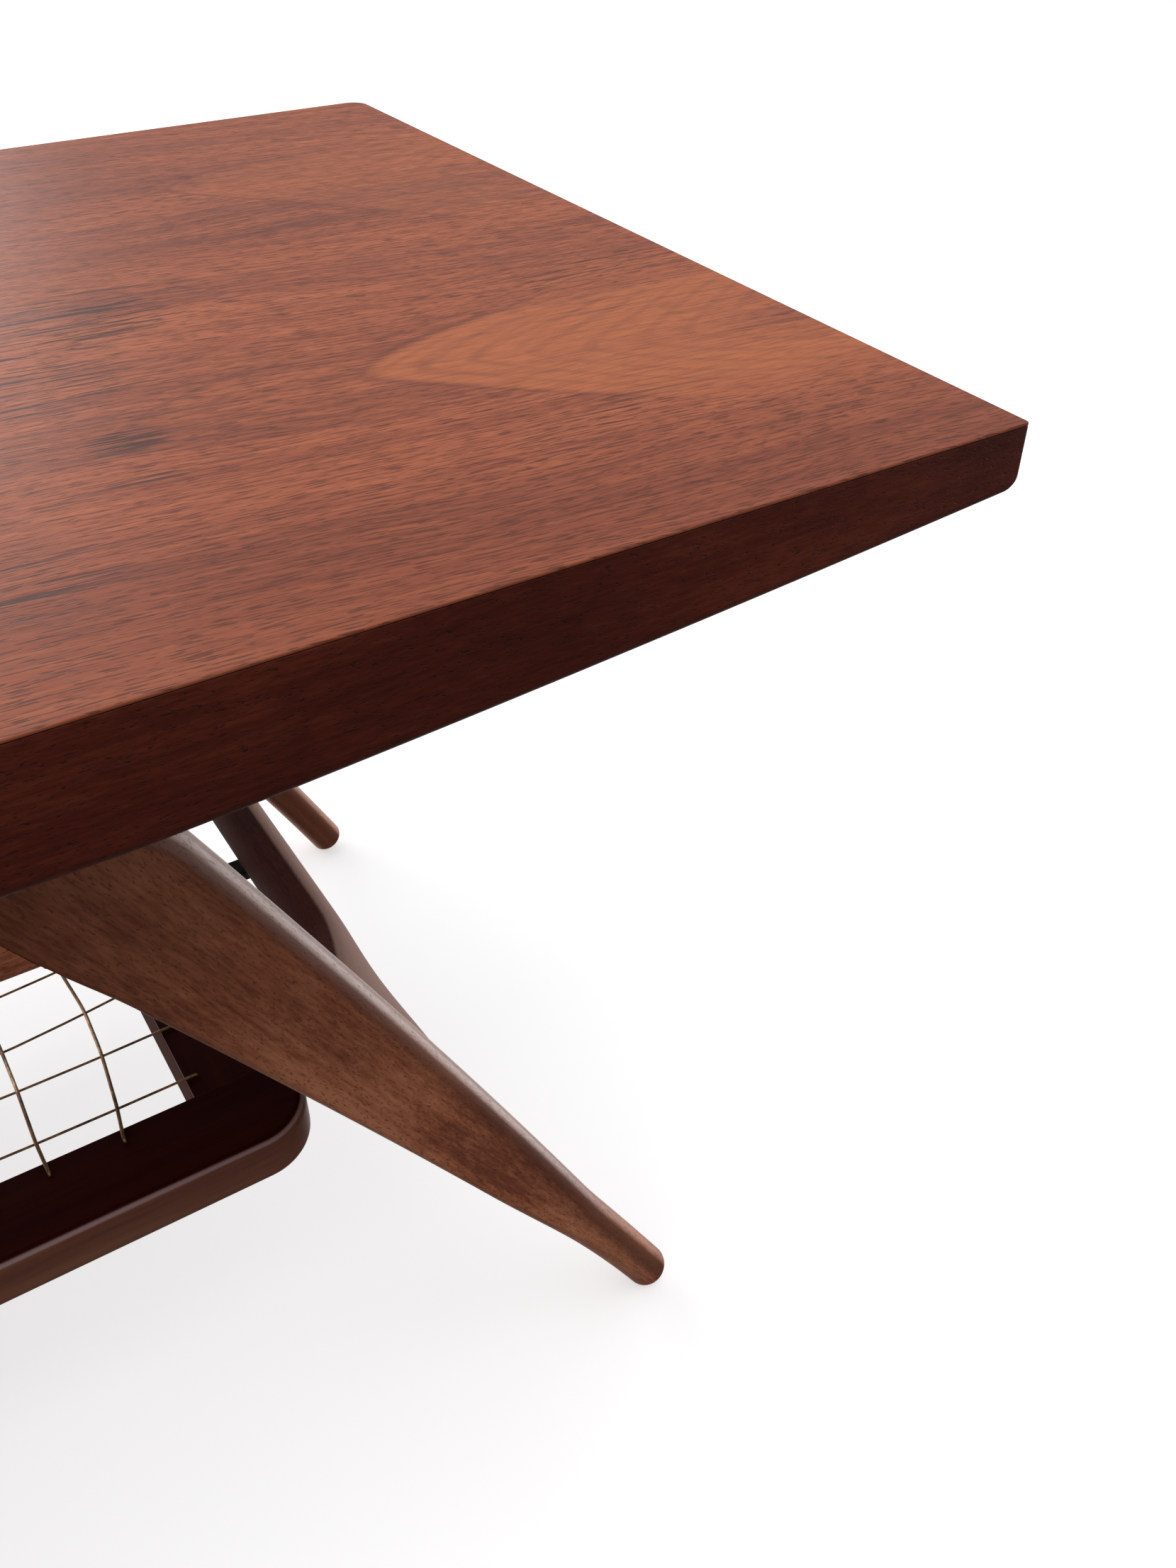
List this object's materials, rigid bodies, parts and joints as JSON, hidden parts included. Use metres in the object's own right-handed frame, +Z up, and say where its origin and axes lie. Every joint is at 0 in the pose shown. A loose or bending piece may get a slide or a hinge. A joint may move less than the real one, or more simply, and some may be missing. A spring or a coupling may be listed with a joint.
{
  "type": "coffee table with magazine rack",
  "caption": "Low teak coffee table on splayed tapered legs, with a wire-grid magazine rack hung between the legs.",
  "frame": {"origin": "on the floor, under the middle of the table top", "axes": "+X along the table, +Y across it away from the near long side, +Z up"},
  "size_m": [1.1, 0.5, 0.463],
  "materials": {
    "top_teak": "oiled reddish teak veneer, satin",
    "edge_teak": "dark reddish solid teak edge, satin",
    "leg_wood": "brown solid wood, satin",
    "rack_wood": "dark red-brown varnished wood, semi-gloss",
    "board_wood": "raw core board",
    "dowel_beech": "raw beech",
    "wire_brass": "dull aged brass wire",
    "black_steel": "black painted steel",
    "screw_steel": "plain steel screws"
  },
  "bodies": {
    "root": {"top_veneer": "top_teak", "near_lipping": "edge_teak", "far_lipping": "edge_teak", "left_end_strip": "edge_teak", "right_end_strip": "edge_teak", "core_panel": "board_wood", "leg_near_left": "leg_wood", "leg_near_right": "leg_wood", "leg_far_left": "leg_wood", "leg_far_right": "leg_wood", "near_side_rail": "leg_wood", "far_side_rail": "leg_wood", "left_stretcher": "leg_wood", "right_stretcher": "leg_wood", "left_bearer": "leg_wood", "right_bearer": "leg_wood", "rack_near_rail": "rack_wood", "rack_far_rail": "rack_wood", "rack_left_rail": "rack_wood", "rack_right_rail": "rack_wood", "cross_wire_01": "wire_brass", "cross_wire_02": "wire_brass", "cross_wire_03": "wire_brass", "cross_wire_04": "wire_brass", "cross_wire_05": "wire_brass", "cross_wire_06": "wire_brass", "cross_wire_07": "wire_brass", "cross_wire_08": "wire_brass", "cross_wire_09": "wire_brass", "cross_wire_10": "wire_brass", "cross_wire_11": "wire_brass", "cross_wire_12": "wire_brass", "cross_wire_13": "wire_brass", "cross_wire_14": "wire_brass", "cross_wire_15": "wire_brass", "cross_wire_16": "wire_brass", "cross_wire_17": "wire_brass", "long_wire_1": "wire_brass", "long_wire_2": "wire_brass", "long_wire_3": "wire_brass", "long_wire_4": "wire_brass", "long_wire_5": "wire_brass", "long_wire_6": "wire_brass", "long_wire_7": "wire_brass", "long_wire_8": "wire_brass", "long_wire_9": "wire_brass", "left_hanger": "black_steel", "right_hanger": "black_steel", "left_hanger_screw": "screw_steel", "right_hanger_screw": "screw_steel", "bearer_screw_near_left": "screw_steel", "bearer_dowel_near_left": "dowel_beech", "bearer_screw_near_right": "screw_steel", "bearer_dowel_near_right": "dowel_beech", "bearer_screw_far_left": "screw_steel", "bearer_dowel_far_left": "dowel_beech", "bearer_screw_far_right": "screw_steel", "bearer_dowel_far_right": "dowel_beech"}
  },
  "joints": []
}
